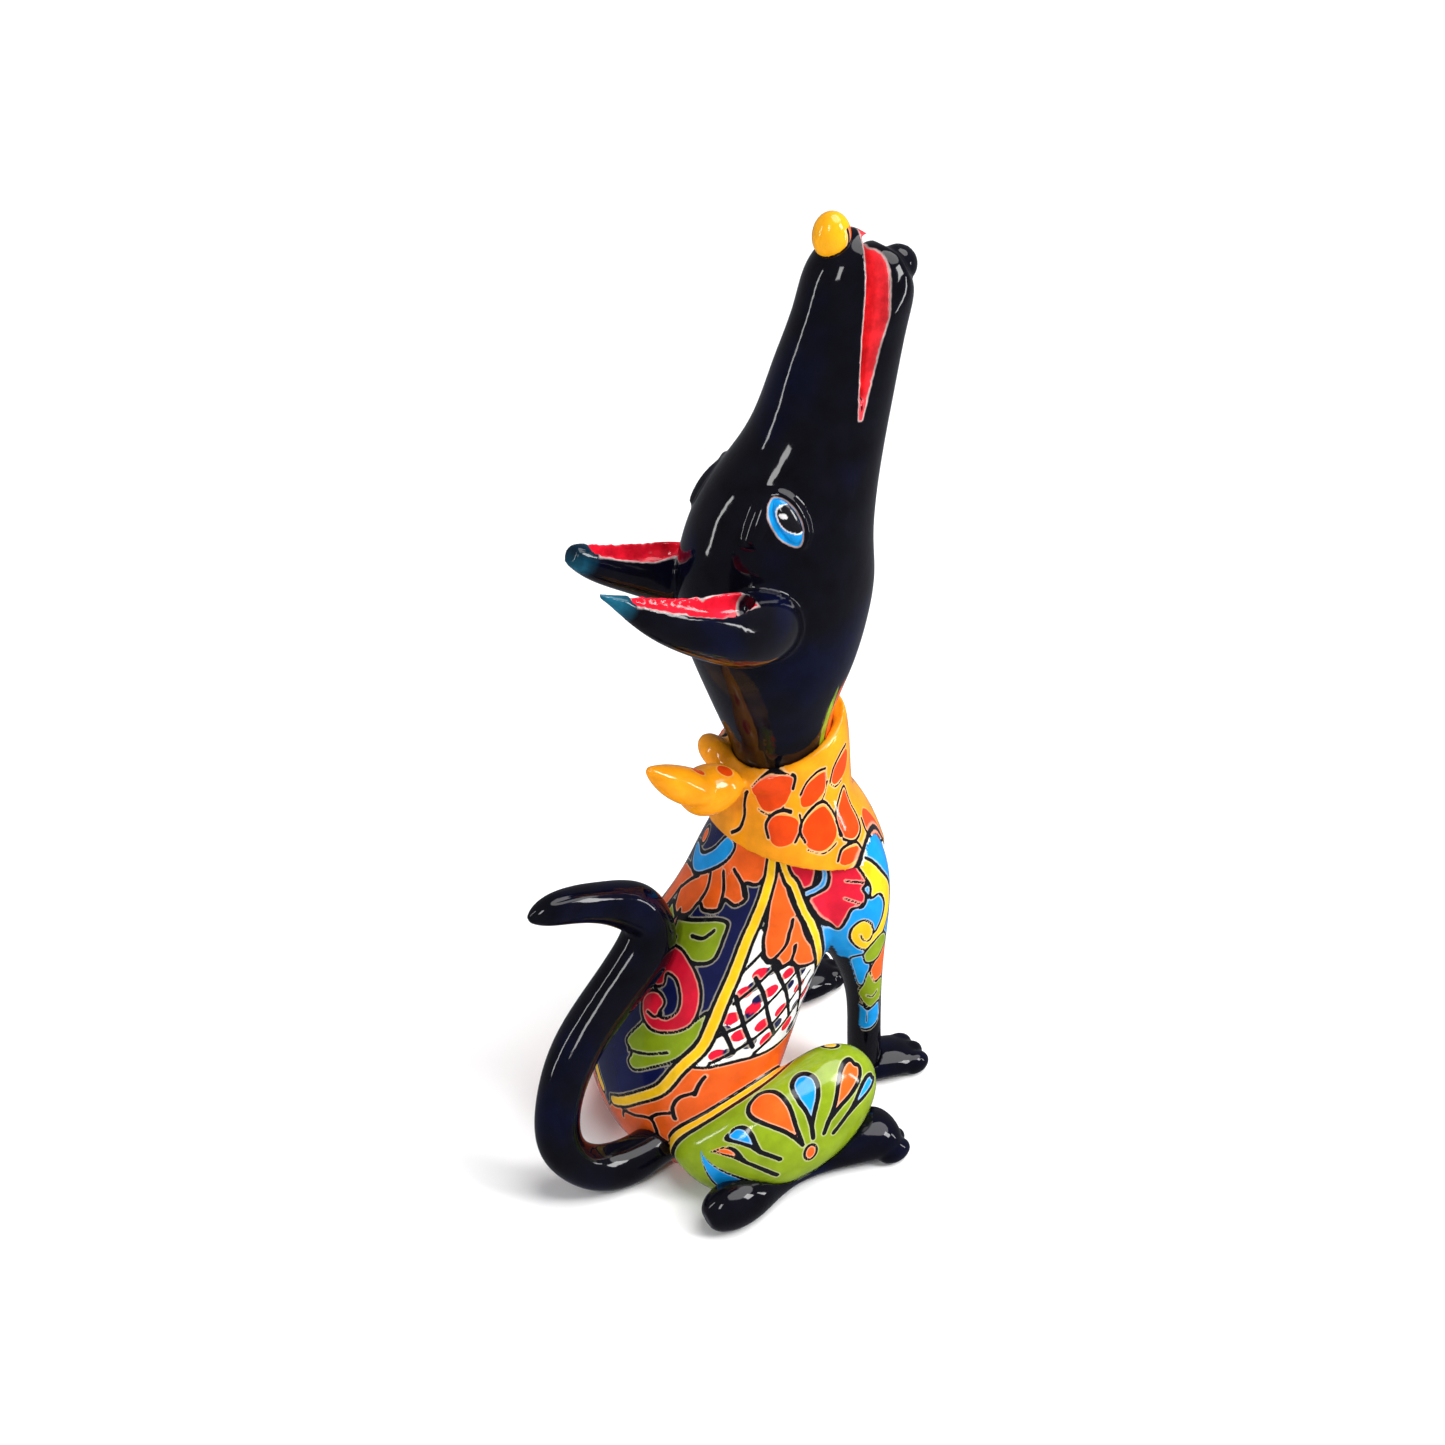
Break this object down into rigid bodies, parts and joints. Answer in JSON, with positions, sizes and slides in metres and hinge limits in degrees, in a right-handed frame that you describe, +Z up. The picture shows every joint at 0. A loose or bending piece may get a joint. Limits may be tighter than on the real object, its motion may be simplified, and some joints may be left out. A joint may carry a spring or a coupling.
{
  "type": "ceramic howling coyote figure",
  "caption": "Glazed earthenware coyote sitting with its muzzle raised to howl, wearing a knotted neckerchief; hand-painted floral bands on body, thighs and forelegs.",
  "frame": {"origin": "middle of the bounding box in plan, on the surface the figure stands on", "axes": "+X the way the coyote faces, +Y to its left, +Z up"},
  "size_m": [0.2812, 0.2536, 0.5841],
  "materials": {
    "black_glaze": "glossy deep blue-black glaze",
    "painted_glaze": "glossy glaze over flowers, leaves and bands in orange, red, green, yellow and blue",
    "amber_glaze": "glossy amber glaze with orange spots",
    "yellow_glaze": "glossy yellow-orange glaze",
    "blue_glaze": "glossy sky-blue glaze with a black pupil"
  },
  "bodies": {
    "root": {"head_right_half": "black_glaze", "head_left_half": "black_glaze", "lower_jaw": "black_glaze", "ear_right": "black_glaze", "ear_left": "black_glaze", "brow_right": "black_glaze", "brow_left": "black_glaze", "eyelid_right": "black_glaze", "eyelid_left": "black_glaze", "front_paw_right": "black_glaze", "front_paw_left": "black_glaze", "hind_foot_right": "black_glaze", "hind_foot_left": "black_glaze", "tail": "black_glaze", "body_right_half": "painted_glaze", "body_left_half": "painted_glaze", "thigh_right": "painted_glaze", "thigh_left": "painted_glaze", "front_leg_right": "painted_glaze", "front_leg_left": "painted_glaze", "neckerchief": "amber_glaze", "knot": "amber_glaze", "knot_point": "amber_glaze", "knot_end": "amber_glaze", "nose": "yellow_glaze", "eyeball_right": "blue_glaze", "eyeball_left": "blue_glaze"}
  },
  "joints": []
}
